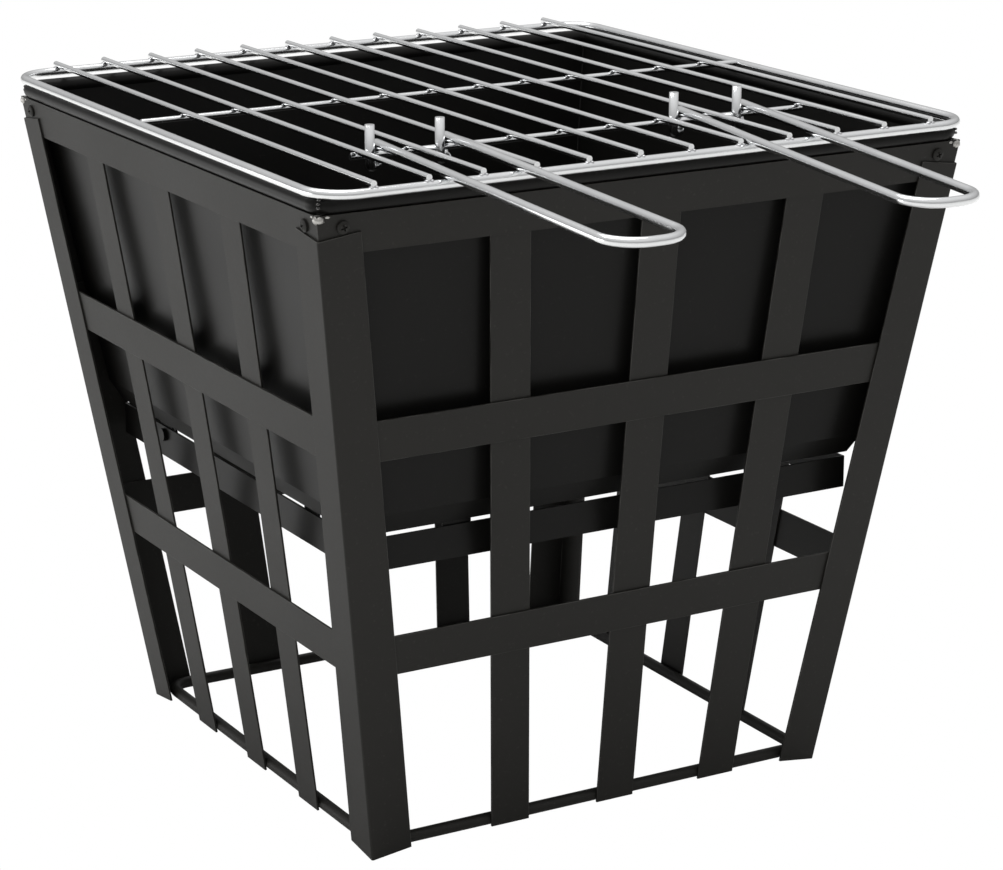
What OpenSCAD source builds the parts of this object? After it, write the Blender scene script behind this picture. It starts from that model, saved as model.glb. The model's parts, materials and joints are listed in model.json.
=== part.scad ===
// Square fire pit: a tapered strap-iron basket, a lift-out fire bowl and a wire grate.
// Millimetres, +Z up. The front is -Y, the side the grate handles point to.
// The origin is on the ground under the middle of the whole object, handles included.
// Every module is drawn about the middle of the basket, and placed() moves it there.

/* [Basket] */
// Width across the top straps, at their top edge
basket_w = 460; // [380:2:560]
// Width across the basket at the ground
basket_base_w = 338; // [280:2:380]
// Height of the top edge of the top straps
basket_h = 435; // [360:5:520]
// Thickness of the legs, straps and slats
strap_t = 1.5; // [1:0.25:3]
// Width of the straps that run round the basket
strap_w = 27; // [20:1:36]
// Height of the middle of the second strap
mid_strap_z = 289; // [250:1:310]
// Height of the middle of the lowest strap
low_strap_z = 143; // [100:1:170]
// Width of each upright slat
slat_w = 28; // [18:1:40]
// Place of the outer slats, as a share of the half width
slat_share = 0.47; // [0.4:0.01:0.5]
// Sideways shift of the slats' feet on the front, right, back and left, as a share of the half width
slat_foot_shift = [0.07, 0.03, 0.03, -0.035]; // [-0.08:0.005:0.08]
// Sideways shift of the slats' tops on the front, right, back and left
slat_top_shift = [0.03, 0.02, 0.03, -0.03]; // [-0.08:0.005:0.08]
// Height of the foot of each slat above the ground
slat_foot = 3; // [2:0.5:8]

/* [Legs] */
// Width of each flange of a leg
leg_flange = 27; // [20:1:36]
// How far the leg stops below the top edge of the straps
leg_drop = 15; // [13:0.5:20]

/* [Bottom rod] */
// Diameter of the rod that ties the slats together
rod_d = 8; // [5:0.5:10]
// Height of the rod above the ground
rod_z = 7.5; // [6.5:0.5:20]
// Bend radius at each corner of the rod
rod_bend = 14; // [10:1:30]

/* [Corner screws] */
// Shank diameter of a corner screw
screw_d = 4; // [3:0.5:5]
// Head diameter of a corner screw
screw_head_d = 8; // [6.5:0.5:9]
// Distance of a corner screw from the corner
screw_inset = 16; // [13:1:20]
// How far a corner screw sits below the top edge
screw_drop = 8; // [6:0.5:9]

/* [Fire bowl] */
// Diameter of the rolled rim
rim_d = 11; // [8:0.5:14]
// How far the middle of the rim sits inside the top strap
rim_inset = 2.5; // [1.5:0.25:4]
// Width of the bowl where the lower bevel starts, as a share of the basket's width there
bowl_knee_w = 0.9383; // [0.8:0.0001:0.965]
// Height above the ground where the lower bevel starts
bowl_knee_z = 235; // [200:1:260]
// Width of the bowl floor, as a share of the width where the lower bevel starts
bowl_floor_w = 0.9631; // [0.8:0.0001:0.98]
// Height of the lower bevel
bowl_bevel_h = 13.5; // [8:0.5:18]
// Thickness of the bowl sheet
bowl_t = 1.2; // [0.8:0.1:2]

/* [Base ring] */
// Width of the ring under the bowl, as a share of the floor's width
ring_w = 0.9945; // [0.8:0.0001:1]
// Height of the ring
ring_h = 21.5; // [16:0.5:35]
// Slot between the ring and the bowl floor
ring_gap = 3; // [2:0.5:6]
// Share of the half width where the ring fixings sit
ring_fix_share = 0.62; // [0.4:0.01:0.8]

/* [Grate] */
// Wire diameter of the outer frame and of the handles
frame_wire_d = 6; // [4:0.5:8]
// Wire diameter of the bars and cross wires
bar_wire_d = 4; // [3:0.5:6]
// How far the frame wire sits outside the middle of the rim, left and right
frame_side_out = 4.5; // [3:0.25:6]
// How far the frame wire sits outside the middle of the rim, front and back
frame_end_out = 14; // [10:1:24]
// Bend radius at each corner of the frame wire
frame_bend = 25; // [12:1:45]
// Distance between neighbouring bars
bar_pitch = 36; // [30:1:38]
// How far the bars run past the back wire
bar_overrun = 3; // [0:0.5:8]
// Place of the rear cross wire, behind the middle
cross_rear_y = 25; // [0:1:60]
// Distance of the front cross wire behind the front wire of the frame
cross_front_y = 95; // [80:1:120]
// Length of the front cross wire, in bar pitches
cross_front_len = 9.16; // [9.1:0.02:9.6]

/* [Handles] */
// Distance from the front cross wire to the outer end of a handle
handle_len = 297; // [230:1:360]
// Distance between the two legs of a handle
handle_w = 48; // [46:0.5:49]
// Bend radius at the outer end of a handle
handle_bend = 21; // [12:0.5:22]
// Place of the left handle at its eyes, left of the middle, in bar pitches
handle_left_x = 3.4; // [3.36:0.01:3.44]
// Place of the right handle at its eyes, right of the middle, in bar pitches
handle_right_x = 2.65; // [2.64:0.01:2.67]
// Sideways lean of the left handle
handle_left_lean = 2.5; // [0:0.5:5]
// Sideways lean of the right handle
handle_right_lean = 7; // [3:0.5:7]
// Play between a handle eye and the wire it turns on
eye_play = 1.5; // [1:0.25:2.5]
// Height the tail of each eye reaches above the wire it turns on
tail_h = 20; // [12:1:26]

/* [Hidden] */
lift_gap = 0.3;        // air between things that lift apart
weld_sink = 0.05;      // how far crossed wires are pressed into each other
hole_play = 0.2;       // radial room round a screw
taper = atan((basket_w - basket_base_w) / 2 / basket_h);
base_half = basket_base_w / 2;
top_half = basket_w / 2;
slope_top = basket_h / cos(taper);
leg_lean = atan(sqrt(2) * tan(taper));
foot_up = strap_t * tan(leg_lean);     // along the edge, so that the foot stands on the ground
corner_angle = acos(-pow(sin(taper), 2));    // between two sides, measured square to their edge
leg_len = (basket_h - leg_drop) / cos(leg_lean) - foot_up;
edge_run = sin(taper);

// corner screws and their nuts
screw_head_h = 2.6;
screw_tip = 1;
nut_af = 7;
nut_h = 3.2;
angle_w = 26;          // flange of the angle inside each top corner
angle_h = 18;
angle_drop = 2;        // top edge of the angle below the top edge of the straps

// fire bowl
rim_r = rim_d / 2;
rim_half = top_half - strap_t - rim_inset;
rim_z = basket_h + sqrt(pow(rim_r + lift_gap, 2) - pow(rim_inset, 2));
rim_bend = 8;
wall_top_z = rim_z + 1;
wall_top_half = rim_half - 3;
floor_z = bowl_knee_z - bowl_bevel_h;
knee_half = (base_half + bowl_knee_z * tan(taper)) * bowl_knee_w;
floor_half = knee_half * bowl_floor_w;
ring_half = floor_half * ring_w;
ring_top_z = floor_z - ring_gap;
ring_t = 1.5;
ring_bolt_d = 5;
ring_bolt_head_d = 9;
ring_bolt_head_h = 2.5;
ring_nut_af = 8;
ring_nut_h = 4;
tab_w = 20;
tab_depth = 18;
ring_bolt_z = ring_top_z - ring_bolt_head_d / 2 - 1.5;
fix_at = ring_half * ring_fix_share;

// grate
wire_r = frame_wire_d / 2;
bar_r = bar_wire_d / 2;
frame_half_x = rim_half + frame_side_out;
frame_half_y = rim_half + frame_end_out;
last_bar_room = 32.5;  // room meant between the last bar and the frame
bars_n = 2 * round((frame_half_x - last_bar_room + bar_pitch / 2) / bar_pitch);
cross_y = frame_half_y - cross_front_y;
frame_z = rim_z + sqrt(pow(rim_r + wire_r + lift_gap, 2) - pow(frame_side_out, 2));
cross_z = frame_z + wire_r - bar_r;
bar_z = frame_z + wire_r + bar_r - weld_sink;

// handles
eye_r = bar_r + eye_play + wire_r;
rest_z = frame_z + 2 * wire_r + lift_gap;
reach = cross_front_y;
droop = asin((cross_z + eye_r - rest_z) / reach);
knuckle_swell = 0.2;   // how much a sharp bend swells
run_stop = 0.3;        // air between a run and the bend it meets, inside the knuckle
tail_side = 8;         // how far the tail of an eye stands beside its leg

// how far the basket stands behind the middle of the whole object
front_reach = cross_y + handle_len * cos(droop) + eye_r * sin(droop)
    + wire_r + knuckle_swell;
back_reach = frame_half_y + max(wire_r, bar_overrun);
basket_back = (front_reach - back_reach) / 2;

strap_dark = [0.2, 0.2, 0.19];
bowl_dark = [0.13, 0.13, 0.13];
chrome = [0.78, 0.79, 0.8];
steel = [0.6, 0.61, 0.62];

module placed() {
    translate([0, basket_back, 0])
        children();
}

// Children drawn flat (x across, y up the slope, z outward) land on a basket side.
// 0 is the front, 1 the right, 2 the back, 3 the left.
module side(k) {
    rotate([0, 0, 90 * k])
        translate([0, -base_half, 0])
            rotate([90 + taper, 0, 0])
                children();
}

function half_at(v) = base_half + v * edge_run;

// The cross section of a leg, square to the basket's corner edge: two flanges and a round bend.
// The point [0, 0] is on the edge and x points away from the basket.
module leg_section() {
    half = corner_angle / 2;
    steps = 8;
    swing = 90 - half;
    bend = [
        for (i = [0:steps])
            let (a = swing * (2 * i / steps - 1))
                [strap_t * cos(a), strap_t * sin(a)]
    ];
    for_left = leg_flange * [-cos(half), -sin(half)];
    for_right = leg_flange * [-cos(half), sin(half)];
    polygon(concat(
        [[0, 0], for_left, for_left + bend[0]],
        bend,
        [for_right + bend[steps], for_right]
    ));
}

// A leg, bent from one strip. Corner k is left of side k.
module leg(k) {
    color(strap_dark)
        rotate([0, 0, 90 * k])
            translate([-base_half, -base_half, 0])
                rotate([0, 0, 225])
                    rotate([0, leg_lean, 0])
                        translate([0, 0, foot_up])
                            linear_extrude(leg_len)
                                leg_section();
}

// A strap lying just inside the outer plane of a basket side.
// The side straps stop against the inner faces of the front and back straps.
module strap(k, v0, v1) {
    cut = (k % 2 == 0) ? 0 : strap_t / cos(taper);
    side(k)
        translate([0, 0, -strap_t])
            linear_extrude(strap_t)
                polygon([
                    [-half_at(v0) + cut, v0],
                    [half_at(v0) - cut, v0],
                    [half_at(v1) - cut, v1],
                    [-half_at(v1) + cut, v1]
                ]);
}

module top_strap(k) {
    color(strap_dark)
        difference() {
            strap(k, slope_top - strap_w + 2, slope_top);
            screw_holes(k);
        }
}

module ring_strap(k, z) {
    v = z / cos(taper);
    color(strap_dark)
        strap(k, v - strap_w / 2, v + strap_w / 2);
}

// The two corner screws of a basket side stand on these points.
module at_screws(k) {
    v = slope_top - screw_drop;
    for (s = [-1, 1])
        side(k)
            translate([s * (half_at(v) - screw_inset), v, 0])
                children();
}

module screw_holes(k) {
    at_screws(k)
        translate([0, 0, -10])
            cylinder(h = 20, r = screw_d / 2 + hole_play, $fn = 32);
}

// Three slats of one basket side, fanning out with the taper.
module slats(k) {
    v0 = slat_foot / cos(taper);
    v1 = slope_top - 5;
    color(strap_dark)
        for (s = [-1, 0, 1]) {
            x0 = (s * slat_share + slat_foot_shift[k]) * half_at(v0);
            x1 = (s * slat_share + slat_top_shift[k]) * half_at(v1);
            side(k)
                translate([0, 0, -2 * strap_t])
                    linear_extrude(strap_t)
                        polygon([
                            [x0 - slat_w / 2, v0],
                            [x0 + slat_w / 2, v0],
                            [x1 + slat_w / 2, v1],
                            [x1 - slat_w / 2, v1]
                        ]);
        }
}

// A closed ring of round wire with rounded corners, lying flat.
module wire_ring(hx, hy, r, bend) {
    for (s = [-1, 1]) {
        translate([s * hx, -(hy - bend), 0])
            rotate([-90, 0, 0])
                cylinder(h = 2 * (hy - bend), r = r, $fn = 32);
        translate([-(hx - bend), s * hy, 0])
            rotate([0, 90, 0])
                cylinder(h = 2 * (hx - bend), r = r, $fn = 32);
    }
    for (q = [0:3]) {
        sx = (q == 0 || q == 3) ? 1 : -1;
        sy = (q < 2) ? 1 : -1;
        translate([sx * (hx - bend), sy * (hy - bend), 0])
            rotate([0, 0, 90 * q])
                rotate_extrude(angle = 90, $fn = 48)
                    translate([bend, 0])
                        circle(r = r, $fn = 32);
    }
}

module bottom_rod() {
    h = base_half + rod_z * tan(taper) - (2 * strap_t + rod_d / 2) / cos(taper);
    color(strap_dark)
        translate([0, 0, rod_z])
            wire_ring(h, h, rod_d / 2, rod_bend);
}

// A bent angle inside each top corner; its screws hold the two top straps together.
module corner_angles() {
    v = slope_top - angle_drop - angle_h;
    c = strap_t / cos(taper);
    color(strap_dark)
        for (k = [0:3])
            difference() {
                union() {
                    side(k)
                        translate([-half_at(v) + c, v, -2 * strap_t])
                            cube([angle_w, angle_h, strap_t]);
                    side(k + 3)
                        translate([half_at(v) - c - angle_w, v, -2 * strap_t])
                            cube([angle_w, angle_h, strap_t]);
                }
                screw_holes(k);
                screw_holes(k + 3);
                corner_trim(k);
            }
}

// Keeps a corner angle clear of the inner faces of the straps round it.
module corner_trim(k) {
    side(k)
        translate([-2 * top_half, 0, -strap_t])
            cube([4 * top_half, 2 * basket_h, 20]);
    side(k + 3)
        translate([-2 * top_half, 0, -strap_t])
            cube([4 * top_half, 2 * basket_h, 20]);
}

// Pan-head screw with a cross recess.
module corner_screw() {
    difference() {
        union() {
            intersection() {
                cylinder(h = screw_head_h, r = screw_head_d / 2, $fn = 32);
                translate([0, 0, screw_head_h - screw_head_d * 0.9])
                    sphere(r = screw_head_d * 0.9, $fn = 48);
            }
            translate([0, 0, -2 * strap_t - nut_h - screw_tip])
                cylinder(h = 2 * strap_t + nut_h + screw_tip, r = screw_d / 2, $fn = 32);
        }
        for (a = [0, 90])
            rotate([0, 0, a + 20])
                translate([-2.1, -0.45, screw_head_h - 1.4])
                    cube([4.2, 0.9, 3]);
    }
}

module corner_screws() {
    color(strap_dark)
        for (k = [0:3])
            at_screws(k)
                corner_screw();
}

module corner_nuts() {
    color(steel)
        for (k = [0:3])
            at_screws(k)
                translate([0, 0, -2 * strap_t - nut_h])
                    difference() {
                        cylinder(h = nut_h, r = nut_af / 2 / cos(30), $fn = 6);
                        translate([0, 0, -1])
                            cylinder(h = nut_h + 2, r = screw_d / 2, $fn = 32);
                    }
}

// A square frustum standing on z0.
module frustum(h0, h1, z0, z1) {
    polyhedron(
        points = [
            [-h0, -h0, z0], [h0, -h0, z0], [h0, h0, z0], [-h0, h0, z0],
            [-h1, -h1, z1], [h1, -h1, z1], [h1, h1, z1], [-h1, h1, z1]
        ],
        faces = [
            [0, 1, 2, 3], [4, 7, 6, 5],
            [0, 4, 5, 1], [1, 5, 6, 2], [2, 6, 7, 3], [3, 7, 4, 0]
        ]
    );
}

module bowl_solid(inset) {
    frustum(knee_half - inset, wall_top_half - inset, bowl_knee_z, wall_top_z);
}

module bevel_solid(inset) {
    frustum(floor_half - inset, knee_half - inset, floor_z, bowl_knee_z);
}

// Walls, bevel and floor of the bowl, bent from one sheet.
module bowl_shell() {
    wall_slope = (wall_top_half - knee_half) / (wall_top_z - bowl_knee_z);
    over = 5;
    color(bowl_dark)
        difference() {
            union() {
                bowl_solid(0);
                bevel_solid(0);
            }
            frustum(
                knee_half - bowl_t,
                wall_top_half - bowl_t + over * wall_slope,
                bowl_knee_z,
                wall_top_z + over
            );
            frustum(
                floor_half - bowl_t,
                knee_half - bowl_t,
                floor_z + bowl_t,
                bowl_knee_z
            );
        }
}

// Rolled rim; the top of the wall is closed inside it.
module bowl_rim() {
    color(bowl_dark)
        difference() {
            translate([0, 0, rim_z])
                wire_ring(rim_half, rim_half, rim_r, rim_bend);
            difference() {
                bowl_solid(0);
                frustum(
                    knee_half - bowl_t,
                    wall_top_half - bowl_t,
                    bowl_knee_z,
                    wall_top_z
                );
            }
        }
}

// Ring points on the left and right, towards the back, where a bolt shares the load of the welds.
module at_ring_fixings() {
    for (s = [-1, 1])
        rotate([0, 0, 90 * s])
            translate([s * fix_at, -ring_half, ring_bolt_z])
                rotate([90, 0, 0])
                    children();
}

module ring_bolt_holes() {
    at_ring_fixings()
        translate([0, 0, -10])
            cylinder(h = 20, r = ring_bolt_d / 2 + hole_play, $fn = 32);
}

module base_ring() {
    inner = ring_half - ring_t;
    color(bowl_dark)
        difference() {
            translate([-ring_half, -ring_half, ring_top_z - ring_h])
                cube([2 * ring_half, 2 * ring_half, ring_h]);
            translate([-inner, -inner, ring_top_z - ring_h - 1])
                cube([2 * inner, 2 * inner, ring_h + 2]);
            ring_bolt_holes();
        }
}

// Bent tabs: one leaf is welded to the ring, two of them bolted as well; the other leaf is
// welded under the floor.
module ring_tabs() {
    drop = ring_gap + ring_h * 0.8;
    color(bowl_dark)
        difference() {
            for (k = [0:3])
                for (s = [-1, 1])
                    rotate([0, 0, 90 * k])
                        translate([s * fix_at - tab_w / 2, -ring_half + ring_t, floor_z - drop]) {
                            cube([tab_w, ring_t, drop]);
                            translate([0, 0, drop - ring_t])
                                cube([tab_w, tab_depth, ring_t]);
                        }
            ring_bolt_holes();
        }
}

module ring_bolts() {
    grip = 2 * ring_t;
    color(bowl_dark)
        at_ring_fixings() {
            cylinder(h = ring_bolt_head_h, r = ring_bolt_head_d / 2, $fn = 32);
            translate([0, 0, -grip - ring_nut_h - 2])
                cylinder(h = grip + ring_nut_h + 2, r = ring_bolt_d / 2, $fn = 32);
        }
}

module ring_nuts() {
    color(steel)
        at_ring_fixings()
            translate([0, 0, -2 * ring_t - ring_nut_h])
                difference() {
                    cylinder(h = ring_nut_h, r = ring_nut_af / 2 / cos(30), $fn = 6);
                    translate([0, 0, -1])
                        cylinder(h = ring_nut_h + 2, r = ring_bolt_d / 2, $fn = 32);
                }
}

module grate_frame() {
    color(chrome)
        translate([0, 0, frame_z])
            wire_ring(frame_half_x, frame_half_y, wire_r, frame_bend);
}

module grate_bars() {
    color(chrome)
        for (i = [0:bars_n - 1])
            translate([(i - (bars_n - 1) / 2) * bar_pitch, -frame_half_y, bar_z])
                rotate([-90, 0, 0])
                    cylinder(h = 2 * frame_half_y + bar_overrun, r = bar_r, $fn = 32);
}

module cross_wire_rear() {
    half = frame_half_x - wire_r;
    color(chrome)
        translate([-half, cross_rear_y, cross_z])
            rotate([0, 90, 0])
                cylinder(h = 2 * half, r = bar_r, $fn = 32);
}

module cross_wire_front() {
    color(chrome)
        translate([-cross_front_len * bar_pitch / 2, -cross_y, cross_z])
            rotate([0, 90, 0])
                cylinder(h = cross_front_len * bar_pitch, r = bar_r, $fn = 32);
}

// A straight length of handle wire from a to b.
module handle_run(a, b) {
    d = b - a;
    len = norm(d);
    translate(a)
        rotate([0, acos(d[2] / len), atan2(d[1], d[0])])
            cylinder(h = len, r = wire_r, $fn = 32);
}

// A sharp bend in the handle wire, slightly swollen by the bending.
module handle_knuckle(p) {
    translate(p)
        sphere(r = wire_r + knuckle_swell, $fn = 32);
}

// Half a turn of wire over the back of the cross wire, then sideways under it and up.
module handle_eye() {
    under = [0, 0, -eye_r];
    beside = [-tail_side, -eye_r, -eye_r];
    rotate([90, 0, 90])
        rotate([0, 0, -90])
            rotate_extrude(angle = 180, $fn = 48)
                translate([eye_r, 0])
                    circle(r = wire_r, $fn = 24);
    handle_knuckle(under);
    handle_run(under, beside);
    handle_knuckle(beside);
    handle_run(beside, beside + [0, 0, eye_r + tail_h]);
}

// A round bend of the handle wire from angle a0 through sweep degrees.
module handle_arc(a0, sweep) {
    rotate([0, 0, a0])
        rotate_extrude(angle = sweep, $fn = 48)
            translate([handle_bend, 0])
                circle(r = wire_r, $fn = 24);
}

// A handle about its own hinge line: two eyes, two legs and a rounded outer end.
// The runs stop just short of the bends, inside the knuckles that join them.
module handle(lean) {
    w = handle_w / 2;
    len_l = (handle_len - handle_bend * (1 + sin(lean))) / cos(lean);
    len_r = (handle_len - handle_bend * (1 - sin(lean))) / cos(lean);
    turn_l = -w - len_l * sin(lean) + handle_bend * cos(lean);
    turn_r = w - len_r * sin(lean) - handle_bend * cos(lean);
    color(chrome) {
        for (s = [-1, 1])
            translate([s * w, 0, 0])
                rotate([0, 0, -lean]) {
                    len = s > 0 ? len_r : len_l;
                    handle_eye();
                    handle_run([0, 0, eye_r], [0, run_stop - len, eye_r]);
                    handle_knuckle([0, -len, eye_r]);
                }
        translate([turn_l, handle_bend - handle_len, eye_r])
            handle_arc(180 - lean, 90 + lean);
        translate([turn_r, handle_bend - handle_len, eye_r])
            handle_arc(270, 90 - lean);
        handle_knuckle([turn_l, -handle_len, eye_r]);
        handle_run(
            [turn_l + run_stop, -handle_len, eye_r],
            [turn_r - run_stop, -handle_len, eye_r]
        );
        handle_knuckle([turn_r, -handle_len, eye_r]);
    }
}

module placed_handle(x, lean) {
    translate([x, -cross_y, cross_z])
        rotate([droop, 0, 0])
            handle(lean);
}

module handle_left() {
    placed_handle(-handle_left_x * bar_pitch, handle_left_lean);
}

module handle_right() {
    placed_handle(handle_right_x * bar_pitch, handle_right_lean);
}

placed() leg(0);  // leg_front_left
placed() leg(1);  // leg_front_right
placed() leg(2);  // leg_back_right
placed() leg(3);  // leg_back_left
placed() top_strap(0);  // top_strap_front
placed() top_strap(1);  // top_strap_right
placed() top_strap(2);  // top_strap_back
placed() top_strap(3);  // top_strap_left
placed() ring_strap(0, mid_strap_z);  // mid_strap_front
placed() ring_strap(1, mid_strap_z);  // mid_strap_right
placed() ring_strap(2, mid_strap_z);  // mid_strap_back
placed() ring_strap(3, mid_strap_z);  // mid_strap_left
placed() ring_strap(0, low_strap_z);  // low_strap_front
placed() ring_strap(1, low_strap_z);  // low_strap_right
placed() ring_strap(2, low_strap_z);  // low_strap_back
placed() ring_strap(3, low_strap_z);  // low_strap_left
placed() slats(0);  // slats_front
placed() slats(1);  // slats_right
placed() slats(2);  // slats_back
placed() slats(3);  // slats_left
placed() bottom_rod();
placed() corner_angles();
placed() corner_screws();
placed() corner_nuts();
placed() bowl_shell();
placed() bowl_rim();
placed() base_ring();
placed() ring_tabs();
placed() ring_bolts();
placed() ring_nuts();
placed() grate_frame();
placed() grate_bars();
placed() cross_wire_front();
placed() cross_wire_rear();
placed() handle_left();
placed() handle_right();
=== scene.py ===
"""Looks of a square strap-iron fire pit with a lift-out bowl and a wire grate."""

import json
import math
import random

import bmesh
import bpy
from mathutils import Matrix, Vector


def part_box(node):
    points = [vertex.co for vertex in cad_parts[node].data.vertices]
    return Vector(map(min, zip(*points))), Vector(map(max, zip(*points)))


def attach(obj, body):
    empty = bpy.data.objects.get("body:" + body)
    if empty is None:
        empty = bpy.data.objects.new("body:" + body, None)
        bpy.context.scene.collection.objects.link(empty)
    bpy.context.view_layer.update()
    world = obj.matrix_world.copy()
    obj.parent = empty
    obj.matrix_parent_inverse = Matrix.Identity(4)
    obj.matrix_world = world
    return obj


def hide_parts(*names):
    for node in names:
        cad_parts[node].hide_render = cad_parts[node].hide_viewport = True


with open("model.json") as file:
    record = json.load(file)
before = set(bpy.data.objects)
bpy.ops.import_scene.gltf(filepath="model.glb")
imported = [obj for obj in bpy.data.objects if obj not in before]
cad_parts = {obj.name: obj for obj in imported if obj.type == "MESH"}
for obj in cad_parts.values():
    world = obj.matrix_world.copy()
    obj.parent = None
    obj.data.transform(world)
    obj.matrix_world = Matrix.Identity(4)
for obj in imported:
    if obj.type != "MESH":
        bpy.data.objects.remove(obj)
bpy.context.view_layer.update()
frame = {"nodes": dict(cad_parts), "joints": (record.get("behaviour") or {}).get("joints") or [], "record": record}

MM = 0.001


# ---------------------------------------------------------------- places taken from the frame

bowl_low, bowl_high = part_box("bowl_shell")
rim_low, rim_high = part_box("bowl_rim")
wire_low, wire_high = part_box("grate_frame")
bars_low, bars_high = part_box("grate_bars")
rear_low, rear_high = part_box("cross_wire_rear")
front_low, front_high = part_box("cross_wire_front")
basket_y = (bowl_low.y + bowl_high.y) / 2      # middle of the basket


# ---------------------------------------------------------------- camera

def aim_camera():
    """Long lens from the front left, a little above the grate."""
    turn, down, tilt = math.radians(-29.67), math.radians(16.28), math.radians(-0.18)
    ahead = Vector((
        -math.sin(turn) * math.cos(down), math.cos(turn) * math.cos(down), -math.sin(down)
    ))
    right = ahead.cross(Vector((0, 0, 1))).normalized()
    up = right.cross(ahead)
    right, up = (
        right * math.cos(tilt) + up * math.sin(tilt),
        up * math.cos(tilt) - right * math.sin(tilt),
    )
    data = bpy.data.cameras.new("camera")
    data.lens = 111.0
    data.sensor_width = 36.0
    data.clip_end = 50
    camera = bpy.data.objects.new("camera", data)
    turned = Matrix((right, up, -ahead)).transposed().to_4x4()
    place = Vector((-0.99387, basket_y - 1.78326, 0.80984))
    camera.matrix_world = Matrix.Translation(place) @ turned
    bpy.context.scene.collection.objects.link(camera)
    bpy.context.scene.camera = camera


aim_camera()


# ---------------------------------------------------------------- shader helpers

class Value:
    """A shader output that takes Python's operators."""

    def __init__(self, finish, socket):
        self.finish = finish
        self.socket = socket

    def math(self, operation, other):
        return self.finish.node("ShaderNodeMath", {"operation": operation}, {0: self, 1: other})

    def __add__(self, other):
        return self.math("ADD", other)

    __radd__ = __add__

    def __mul__(self, other):
        return self.math("MULTIPLY", other)

    __rmul__ = __mul__

    def step(self, start, end):
        """0 below start, 1 above end, smooth between."""
        return self.finish.node(
            "ShaderNodeMapRange",
            {"interpolation_type": "SMOOTHSTEP"},
            {"Value": self, "From Min": start, "From Max": end},
        )


class Finish:
    """A material while it is put together."""

    def __init__(self, name):
        self.material = bpy.data.materials.new(name)
        self.material.use_nodes = True
        self.tree = self.material.node_tree
        self.tree.nodes.clear()

    def node(self, kind, settings=None, inputs=None, output=0):
        made = self.tree.nodes.new(kind)
        for key, value in (settings or {}).items():
            setattr(made, key, value)
        for key, value in (inputs or {}).items():
            if isinstance(value, Value):
                self.tree.links.new(value.socket, made.inputs[key])
            else:
                made.inputs[key].default_value = value
        return made if output is None else Value(self, made.outputs[output])

    def noise(self, scale, detail=2.0, seed=0.0):
        """A cloud pattern from 0 to 1; scale is blots a metre, seed moves it."""
        at = self.node("ShaderNodeTexCoord", output="Object")
        if seed:
            at = self.node(
                "ShaderNodeMapping", None, {"Vector": at, "Location": (seed, seed, seed)}
            )
        return self.node(
            "ShaderNodeTexNoise",
            None,
            {"Vector": at, "Scale": scale, "Detail": detail, "Roughness": 0.5},
            output="Fac",
        )

    def bump(self, strength, height_mm, pattern):
        """A normal from a pattern that stands height_mm proud."""
        return self.node(
            "ShaderNodeBump",
            None,
            {"Strength": strength, "Distance": height_mm * MM, "Height": pattern},
        )

    def mix(self, share, first, second):
        """One colour over another."""
        first, second = (
            colour if isinstance(colour, Value) else (*colour, 1) for colour in (first, second)
        )
        colour_a, colour_b, colour_out = 6, 7, 2
        return self.node(
            "ShaderNodeMix",
            {"data_type": "RGBA"},
            {0: share, colour_a: first, colour_b: second},
            output=colour_out,
        )

    def attribute(self, name):
        return self.node("ShaderNodeAttribute", {"attribute_name": name}, output="Fac")

    def surface(self, **sockets):
        shader = self.node(
            "ShaderNodeBsdfPrincipled",
            None,
            {name.replace("_", " "): value for name, value in sockets.items()},
            output="BSDF",
        )
        self.node("ShaderNodeOutputMaterial", None, {"Surface": shader}, output=None)
        return self.material


# ---------------------------------------------------------------- finishes

def basket_paint():
    """Satin black stove paint with a little dust; its eased edges are drawn lighter, partly as paint worn thin and
    partly as a painted edge highlight.
    """
    paint = Finish("basket_paint")
    clouds = paint.noise(9.0, detail=3.0)
    specks = paint.noise(420.0, detail=2.0, seed=3.1)
    # eased edges lighter in patches: worn thin paint, and a painted highlight along the edges
    edge_wear_and_highlight = paint.attribute("eased_edge") * paint.noise(60.0, detail=3.0, seed=1.7).step(0.3, 0.62)
    base = paint.mix(clouds, (0.0118, 0.0111, 0.0096), (0.0178, 0.0168, 0.0146))
    dusty = paint.mix(specks.step(0.6, 0.78) * 0.3, base, (0.05, 0.048, 0.045))
    colour = paint.mix(edge_wear_and_highlight * 0.55, dusty, (0.12, 0.117, 0.11))
    grain = paint.noise(1500.0, detail=2.0, seed=5.3)
    bump = paint.bump(0.22, 0.06, grain)
    roughness = 0.42 + 0.12 * clouds + 0.08 * specks
    return paint.surface(
        Base_Color=colour, Roughness=roughness, Specular_IOR_Level=0.24, Normal=bump
    )


def bowl_paint():
    """The bowl's blacker, smoother paint."""
    paint = Finish("bowl_paint")
    clouds = paint.noise(14.0, detail=3.0, seed=2.2)
    specks = paint.noise(500.0, detail=2.0, seed=8.4)
    base = paint.mix(clouds, (0.0052, 0.0050, 0.0046), (0.0088, 0.0085, 0.0079))
    colour = paint.mix(specks.step(0.62, 0.8) * 0.3, base, (0.03, 0.03, 0.029))
    grain = paint.noise(1300.0, detail=2.0, seed=6.1)
    bump = paint.bump(0.18, 0.05, grain)
    roughness = 0.3 + 0.12 * clouds
    return paint.surface(
        Base_Color=colour, Roughness=roughness, Specular_IOR_Level=0.13, Normal=bump
    )


def chrome_wire():
    """Bright chrome plate on drawn wire."""
    chrome = Finish("chrome_wire")
    drawn = chrome.noise(260.0, detail=3.0, seed=4.6)
    haze = chrome.noise(22.0, detail=2.0, seed=9.9)
    colour = chrome.mix(haze, (0.80, 0.81, 0.82), (0.88, 0.885, 0.89))
    bump = chrome.bump(0.12, 0.05, drawn)
    roughness = 0.12 + 0.14 * haze
    return chrome.surface(Base_Color=colour, Metallic=1.0, Roughness=roughness, Normal=bump)


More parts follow.
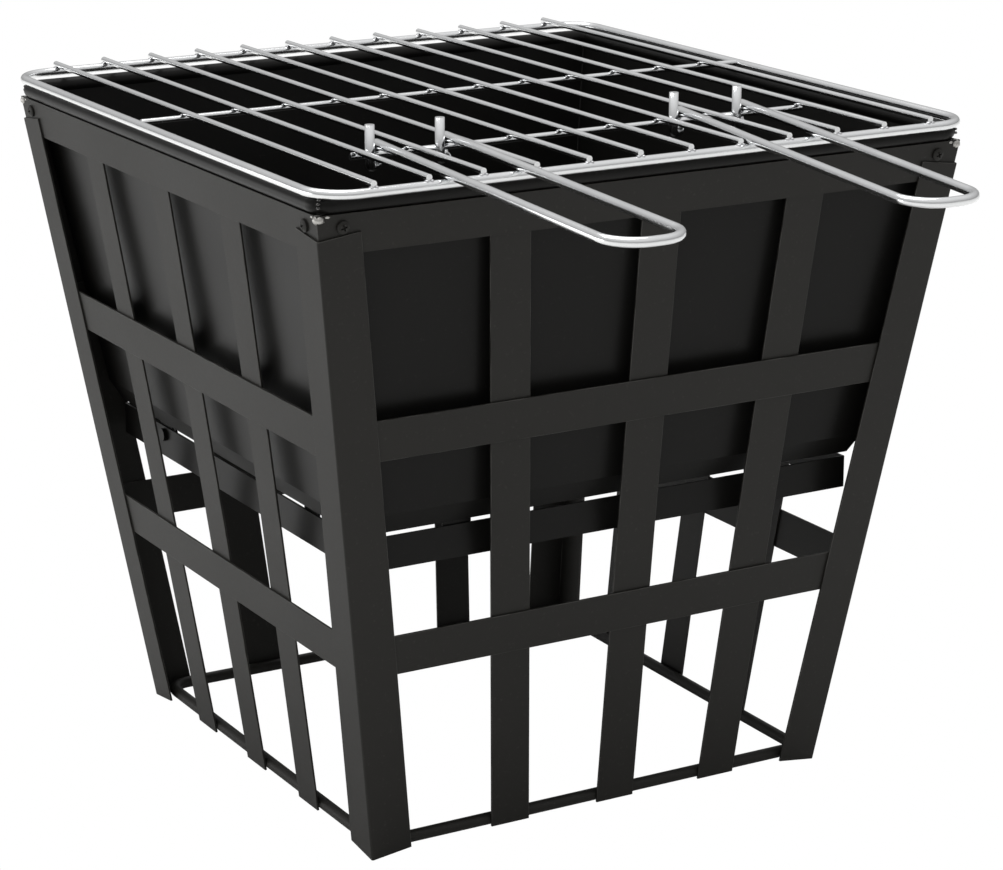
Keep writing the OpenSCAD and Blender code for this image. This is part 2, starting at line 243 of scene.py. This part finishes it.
def weld_metal():
    """Rippled weld metal, grey with brown heat tint."""
    weld = Finish("weld_metal")
    ripples = weld.noise(900.0, detail=3.0, seed=2.7)
    tint = weld.noise(300.0, detail=2.0, seed=7.5)
    colour = weld.mix(tint, (0.33, 0.32, 0.3), (0.6, 0.59, 0.57))
    bump = weld.bump(0.6, 0.25, ripples)
    return weld.surface(
        Base_Color=colour, Metallic=0.9, Roughness=0.28 + 0.25 * tint, Normal=bump
    )


def zinc_nut():
    """Dull bright zinc on the nuts."""
    zinc = Finish("zinc_nut")
    spangle = zinc.noise(700.0, detail=1.0, seed=3.3)
    colour = zinc.mix(spangle, (0.42, 0.43, 0.44), (0.6, 0.61, 0.62))
    bump = zinc.bump(0.2, 0.05, spangle)
    return zinc.surface(
        Base_Color=colour, Metallic=1.0, Roughness=0.34 + 0.16 * spangle, Normal=bump
    )


def chrome_weld():
    """Weld drops under the chrome plate, duller than the wire."""
    weld = Finish("chrome_weld")
    ripples = weld.noise(1200.0, detail=2.0, seed=5.7)
    colour = weld.mix(ripples, (0.42, 0.42, 0.43), (0.7, 0.7, 0.71))
    bump = weld.bump(0.4, 0.12, ripples)
    return weld.surface(
        Base_Color=colour, Metallic=1.0, Roughness=0.24 + 0.2 * ripples, Normal=bump
    )


def bowl_weld():
    """Weld drops under the bowl's paint, rubbed bare on their tops."""
    weld = Finish("bowl_weld")
    ripples = weld.noise(900.0, detail=3.0, seed=1.2)
    bare = ripples.step(0.5, 0.66)
    colour = weld.mix(bare, (0.02, 0.02, 0.02), (0.34, 0.33, 0.32))
    bump = weld.bump(0.5, 0.2, ripples)
    return weld.surface(
        Base_Color=colour, Metallic=bare * 0.9, Roughness=0.3 + 0.2 * ripples, Normal=bump
    )


finishes = {
    "basket_paint": basket_paint(),
    "chrome_weld": chrome_weld(),
    "bowl_weld": bowl_weld(),
    "bowl_paint": bowl_paint(),
    "chrome_wire": chrome_wire(),
    "weld_metal": weld_metal(),
    "zinc_nut": zinc_nut(),
}


def dress(piece, finish):
    """Puts one finish on the whole of a piece."""
    piece.data.materials.clear()
    piece.data.materials.append(finishes[finish])


# ---------------------------------------------------------------- pieces made from CAD nodes

slots = {part["node"]: part["material_slot"] for part in frame["record"]["subparts"]}
bodies = frame["record"]["behaviour"]["bodies"]
body_of_node = {node: body for body, nodes in bodies.items() for node in nodes}


def sharp_edges(mesh, angle):
    return [
        edge for edge in mesh.edges
        if edge.is_manifold and edge.calc_face_angle(0.0) > math.radians(angle)
    ]


SAME_POINT = 0.002 * MM         # points closer than this are one
FLAT_ANGLE = 0.6                # degrees; faces that meet flatter than this are one face
SHARP_ANGLE = 40                # degrees; edges that turn more than this are eased


def eased_copy(node, ease):
    """A copy of a plate node with its sheared edges eased, which stands for the node."""
    mesh = bmesh.new()
    mesh.from_mesh(frame["nodes"][node].data)
    # marks the eased faces that the paint draws lighter, as worn paint and as a painted edge highlight
    edge_wear_and_highlight = mesh.faces.layers.float.new("eased_edge")
    bmesh.ops.remove_doubles(mesh, verts=mesh.verts, dist=SAME_POINT)
    bmesh.ops.dissolve_limit(
        mesh, angle_limit=math.radians(FLAT_ANGLE), verts=mesh.verts, edges=mesh.edges
    )
    bmesh.ops.dissolve_degenerate(mesh, edges=mesh.edges, dist=SAME_POINT)
    for face in mesh.faces:
        face.smooth = False
    edges = sharp_edges(mesh, SHARP_ANGLE)
    done = bmesh.ops.bevel(
        mesh, geom=edges, offset=ease, offset_type="OFFSET", affect="EDGES",
        segments=2, profile=0.5, material=-1, clamp_overlap=True,
    )
    for face in done["faces"]:
        face[edge_wear_and_highlight] = 1.0
        face.smooth = True
    bmesh.ops.triangulate(mesh, faces=[face for face in mesh.faces if len(face.verts) > 4])
    name = node + "_eased"
    data = bpy.data.meshes.new(name)
    mesh.to_mesh(data)
    mesh.free()
    piece = bpy.data.objects.new(name, data)
    bpy.context.scene.collection.objects.link(piece)
    dress(piece, slots[node])
    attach(piece, body_of_node[node])
    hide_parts(node)
    return piece


def plain_piece(name, mesh, body, finish):
    """Turns a bmesh into a piece that rides on a body."""
    bmesh.ops.recalc_face_normals(mesh, faces=mesh.faces)
    data = bpy.data.meshes.new(name)
    mesh.to_mesh(data)
    mesh.free()
    piece = bpy.data.objects.new(name, data)
    bpy.context.scene.collection.objects.link(piece)
    dress(piece, finish)
    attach(piece, body)
    return piece


eased_nodes = [
    node for node in slots
    if node.startswith(("leg_", "top_strap_", "mid_strap_", "low_strap_", "slats_"))
]
STRIP_EASE, BOWL_EASE, RING_EASE = 0.3 * MM, 0.4 * MM, 0.35 * MM
for node in eased_nodes:
    eased_copy(node, STRIP_EASE)
eased_copy("bowl_shell", BOWL_EASE)
eased_copy("base_ring", RING_EASE)
eased_copy("corner_angles", STRIP_EASE)
eased_copy("ring_tabs", STRIP_EASE)


# ---------------------------------------------------------------- handles, one bent wire each

WIRE = 3.0 * MM                 # radius of the handle wire
EYE = 6.5 * MM                  # radius of an eye, to the middle of the wire
TAIL_SIDE, TAIL_HEIGHT = 8.0 * MM, 20.0 * MM
TAIL_BEND = 3.2 * MM            # bend radius where a tail leaves its foot
REST_GAP = 0.3 * MM             # air between a leg and the front wire it lies over
END_EASE = 0.6 * MM             # easing of the cut ends
NEARLY_STRAIGHT = 80            # degrees, half the angle of a corner too flat to round
HANDLE_LENGTH, HANDLE_HALF, HANDLE_BEND = 297 * MM, 24 * MM, 21 * MM
HINGE_Z = (front_low.z + front_high.z) / 2
HINGE_Y = (front_low.y + front_high.y) / 2
FRONT_WIRE_Y = wire_low.y + WIRE
DROOP = math.asin(
    (HINGE_Z + EYE - (wire_high.z + WIRE + REST_GAP)) / (HINGE_Y - FRONT_WIRE_Y)
)


def arc(middle, radius, start, end, across, along, steps=14):
    """Points on an arc; across and along are its two directions, the angles in degrees."""
    points = []
    for i in range(steps + 1):
        angle = math.radians(start + (end - start) * i / steps)
        points.append(middle + radius * (across * math.cos(angle) + along * math.sin(angle)))
    return points


def rounded(points, radius, steps=6):
    """A path whose inner corners are bent round."""
    path = [points[0]]
    for before, corner, after in zip(points, points[1:], points[2:]):
        inward, outward = (before - corner).normalized(), (after - corner).normalized()
        half = inward.angle(outward) / 2
        reach = min(
            radius / math.tan(half), (before - corner).length / 2, (after - corner).length / 2
        )
        if math.degrees(half) > NEARLY_STRAIGHT:
            path.append(corner)
            continue
        start, end = corner + inward * reach, corner + outward * reach
        for i in range(steps + 1):
            share = i / steps
            path.append(
                start * (1 - share) ** 2 + corner * 2 * share * (1 - share) + end * share ** 2
            )
    return path + [points[-1]]


def eye_path(side):
    """Tail, sideways foot and half turn of one eye, ending where its leg starts."""
    foot = [
        Vector((side - TAIL_SIDE, -EYE, TAIL_HEIGHT)),
        Vector((side - TAIL_SIDE, -EYE, -EYE)),
        Vector((side, 0, -EYE)),
    ]
    turn = arc(
        Vector((side, 0, 0)), EYE, -90, 90, Vector((0, 1, 0)), Vector((0, 0, 1)), steps=16
    )
    return rounded(foot + turn[1:2], TAIL_BEND)[:-1] + turn[1:]


def handle_path(lean):
    """The whole wire about its hinge line, from one tail to the other."""
    turn = Matrix.Rotation(-math.radians(lean), 4, "Z")
    left, right = (
        [turn @ (point - Vector((side, 0, 0))) + Vector((side, 0, 0)) for point in eye_path(side)]
        for side in (-HANDLE_HALF, HANDLE_HALF)
    )
    tan, sin, cos = (f(math.radians(lean)) for f in (math.tan, math.sin, math.cos))
    outer_left = Vector((-HANDLE_HALF - HANDLE_LENGTH * tan, -HANDLE_LENGTH, EYE))
    outer_right = Vector((HANDLE_HALF - HANDLE_LENGTH * tan, -HANDLE_LENGTH, EYE))
    up, aside = Vector((0, 1, 0)), Vector((1, 0, 0))
    middle_left = outer_left + Vector((
        HANDLE_BEND * (1 / cos + tan), HANDLE_BEND, 0
    ))
    middle_right = outer_right + Vector((
        -HANDLE_BEND * (1 / cos - tan), HANDLE_BEND, 0
    ))
    bend_left = arc(middle_left, HANDLE_BEND, 180 - lean, 270, aside, up)
    bend_right = arc(middle_right, HANDLE_BEND, 270, 360 - lean, aside, up)
    return left + bend_left + bend_right + right[::-1]


def handle(name, lean):
    """A handle of one smooth wire in the place of its CAD node."""
    joint = next(j for j in frame["joints"] if j["child"] == name)
    hinge = Vector(joint["pos_m"])
    stand = Matrix.Translation(hinge) @ Matrix.Rotation(DROOP, 4, "X")
    points = [stand @ point for point in handle_path(lean)]
    curve = bpy.data.curves.new(name + "_path", "CURVE")
    curve.dimensions = "3D"
    curve.bevel_depth = WIRE
    curve.bevel_resolution = 6
    curve.use_fill_caps = True
    spline = curve.splines.new("POLY")
    spline.points.add(len(points) - 1)
    for target, point in zip(spline.points, points):
        target.co = (*point, 1)
    spline.use_smooth = True
    drawn = bpy.data.objects.new(name + "_path", curve)
    bpy.context.scene.collection.objects.link(drawn)
    data = bpy.data.meshes.new_from_object(drawn.evaluated_get(
        bpy.context.evaluated_depsgraph_get()
    ))
    bpy.data.objects.remove(drawn)
    mesh = bmesh.new()
    mesh.from_mesh(data)
    bmesh.ops.remove_doubles(mesh, verts=mesh.verts, dist=0.01 * MM)
    for face in mesh.faces:
        face.smooth = len(face.verts) == 4
    ends = [edge for face in mesh.faces if len(face.verts) > 4 for edge in face.edges]
    bmesh.ops.bevel(
        mesh, geom=ends, offset=END_EASE, offset_type="OFFSET", affect="EDGES",
        segments=3, profile=0.5, material=-1,
    )
    piece = plain_piece(name + "_wire", mesh, body_of_node[name], "chrome_wire")
    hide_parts(name)


handle("handle_left", 2.5)
handle("handle_right", 7.0)


# ---------------------------------------------------------------- welds

def dab(mesh, place, size, chance):
    """One drop of weld metal, a little uneven."""
    x, y, z = size
    shape = Matrix.Translation(place) @ Matrix.Diagonal((x, y, z, 1))
    made = bmesh.ops.create_icosphere(mesh, subdivisions=2, radius=1.0, matrix=shape)
    for vert in made["verts"]:
        vert.co += (vert.co - place) * chance.uniform(-0.14, 0.1)


def smooth_faces(mesh):
    for face in mesh.faces:
        face.smooth = True


def corners():
    """The four corner directions."""
    return [(x, y) for x in (-1, 1) for y in (-1, 1)]


def bar_places():
    """Where the bars run, from left to right."""
    count, radius = 12, 2.0 * MM
    pitch = (bars_high.x - bars_low.x - 2 * radius) / (count - 1)
    return [bars_low.x + radius + pitch * i for i in range(count)]


def grate_welds():
    """Small fillets where each bar lies on the frame wire and the cross wires."""
    chance = random.Random(11)
    mesh = bmesh.new()
    for x in bar_places():
        for y in (wire_low.y + WIRE, wire_high.y - WIRE):
            for side in (-1, 1):
                place = Vector((x + side * 1.7 * MM, y, wire_high.z - 0.1 * MM))
                dab(mesh, place, (1.3 * MM, 1.9 * MM, 0.9 * MM), chance)
        for low, high in ((front_low, front_high), (rear_low, rear_high)):
            if not low.x < x < high.x:
                continue
            for side in (-1, 1):
                place = Vector((x + side * 1.5 * MM, (low.y + high.y) / 2, high.z))
                dab(mesh, place, (1.0 * MM, 1.3 * MM, 0.7 * MM), chance)
    for side in (-1, 1):
        place = Vector((side * (rear_high.x - 0.6 * MM), (rear_low.y + rear_high.y) / 2,
                        rear_low.z + 1.6 * MM))
        dab(mesh, place, (1.6 * MM, 2.4 * MM, 1.8 * MM), chance)
    smooth_faces(mesh)
    plain_piece("grate_welds", mesh, "grate", "chrome_weld")


def top_corner_welds():
    """A bright bead that closes each top corner of the basket."""
    chance = random.Random(23)
    mesh = bmesh.new()
    low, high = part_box("top_strap_front")
    half = high.x - 2.2 * MM
    for x, y in corners():
        corner = Vector((x * half, basket_y + y * half, high.z - 2.6 * MM))
        dab(mesh, corner, (3.6 * MM, 3.6 * MM, 3.1 * MM), chance)
        dab(mesh, corner + Vector((-x * 5 * MM, y * 0.8 * MM, 1.3 * MM)),
            (2.4 * MM, 1.7 * MM, 1.3 * MM), chance)
        dab(mesh, corner + Vector((x * 0.7 * MM, -y * 5 * MM, 1.1 * MM)),
            (1.7 * MM, 2.6 * MM, 1.3 * MM), chance)
    smooth_faces(mesh)
    plain_piece("top_corner_welds", mesh, "basket", "weld_metal")


def rim_corner_welds():
    """Short beads over the mitres of the rolled rim."""
    chance = random.Random(37)
    mesh = bmesh.new()
    radius = 5.5 * MM
    half = rim_high.x - radius
    middle_z = (rim_low.z + rim_high.z) / 2
    for x, y in corners():
        for i in range(5):
            lift = math.radians(95 - 26 * i)
            out = (half - 2.0 * MM) + (radius - 0.2 * MM) * math.cos(lift) * 0.72
            place = Vector((
                x * out, basket_y + y * out,
                middle_z + (radius - 0.2 * MM) * math.sin(lift),
            ))
            dab(mesh, place, (1.2 * MM, 1.2 * MM, 0.9 * MM), chance)
        place = Vector((
            x * (half - 9 * MM), basket_y + y * (half + 3.2 * MM), middle_z + 4.0 * MM
        ))
        dab(mesh, place, (2.2 * MM, 0.9 * MM, 0.6 * MM), chance)
    smooth_faces(mesh)
    plain_piece("rim_corner_welds", mesh, "bowl", "bowl_weld")


grate_welds()
top_corner_welds()
rim_corner_welds()

for node, slot in slots.items():
    if not frame["nodes"][node].hide_render:
        dress(frame["nodes"][node], slot)


# ---------------------------------------------------------------- floor and lights

def pale_floor():
    """White to the camera, pale paper to everything the floor lights."""
    paper = Finish("pale_floor")
    seen = paper.node("ShaderNodeLightPath", output="Is Camera Ray")
    lit = paper.node("ShaderNodeBsdfDiffuse", None, {"Color": (0.88, 0.88, 0.87, 1)})
    white = paper.node("ShaderNodeEmission", None, {"Color": (1, 1, 1, 1), "Strength": 1.0})
    both = paper.node("ShaderNodeMixShader", None, {0: seen, 1: lit, 2: white})
    paper.node("ShaderNodeOutputMaterial", None, {"Surface": both}, output=None)
    return paper.material


def lay_floor():
    mesh = bmesh.new()
    bmesh.ops.create_grid(mesh, x_segments=1, y_segments=1, size=12)
    data = bpy.data.meshes.new("floor")
    mesh.to_mesh(data)
    mesh.free()
    floor = bpy.data.objects.new("floor", data)
    bpy.context.scene.collection.objects.link(floor)
    data.materials.append(pale_floor())


def hang_light(name, place, target, size, power):
    """A soft box that faces target."""
    data = bpy.data.lights.new(name, "AREA")
    data.shape = "RECTANGLE"
    data.size, data.size_y = size
    data.energy = power
    light = bpy.data.objects.new(name, data)
    light.location = Vector(place)
    light.rotation_euler = (Vector(target) - light.location).to_track_quat("-Z", "Y").to_euler()
    bpy.context.scene.collection.objects.link(light)


def studio_world():
    """A room that is bright overhead and dim at the sides."""
    world = bpy.data.worlds.new("studio")
    world.use_nodes = True
    nodes, links = world.node_tree.nodes, world.node_tree.links
    place = nodes.new("ShaderNodeTexCoord")
    parts = nodes.new("ShaderNodeSeparateXYZ")
    height = nodes.new("ShaderNodeMapRange")
    for name, value in (("From Min", 0.0), ("From Max", 0.8), ("To Min", 0.32), ("To Max", 0.8)):
        height.inputs[name].default_value = value
    links.new(place.outputs["Generated"], parts.inputs[0])
    links.new(parts.outputs["Z"], height.inputs["Value"])
    links.new(height.outputs["Result"], nodes["Background"].inputs["Strength"])
    nodes["Background"].inputs["Color"].default_value = (1, 1, 1, 1)
    return world


def light_studio():
    bpy.context.scene.world = studio_world()
    bpy.context.scene.view_settings.view_transform = "Standard"
    middle = (0, basket_y, 0.2)
    hang_light("top_box", (-0.3, basket_y + 0.6, 3.0), middle, (2.2, 2.2), 55)
    hang_light("left_box", (-1.7, basket_y + 1.0, 0.1), (-0.2, basket_y, 0.1), (1.6, 0.9), 11)


lay_floor()
light_studio()
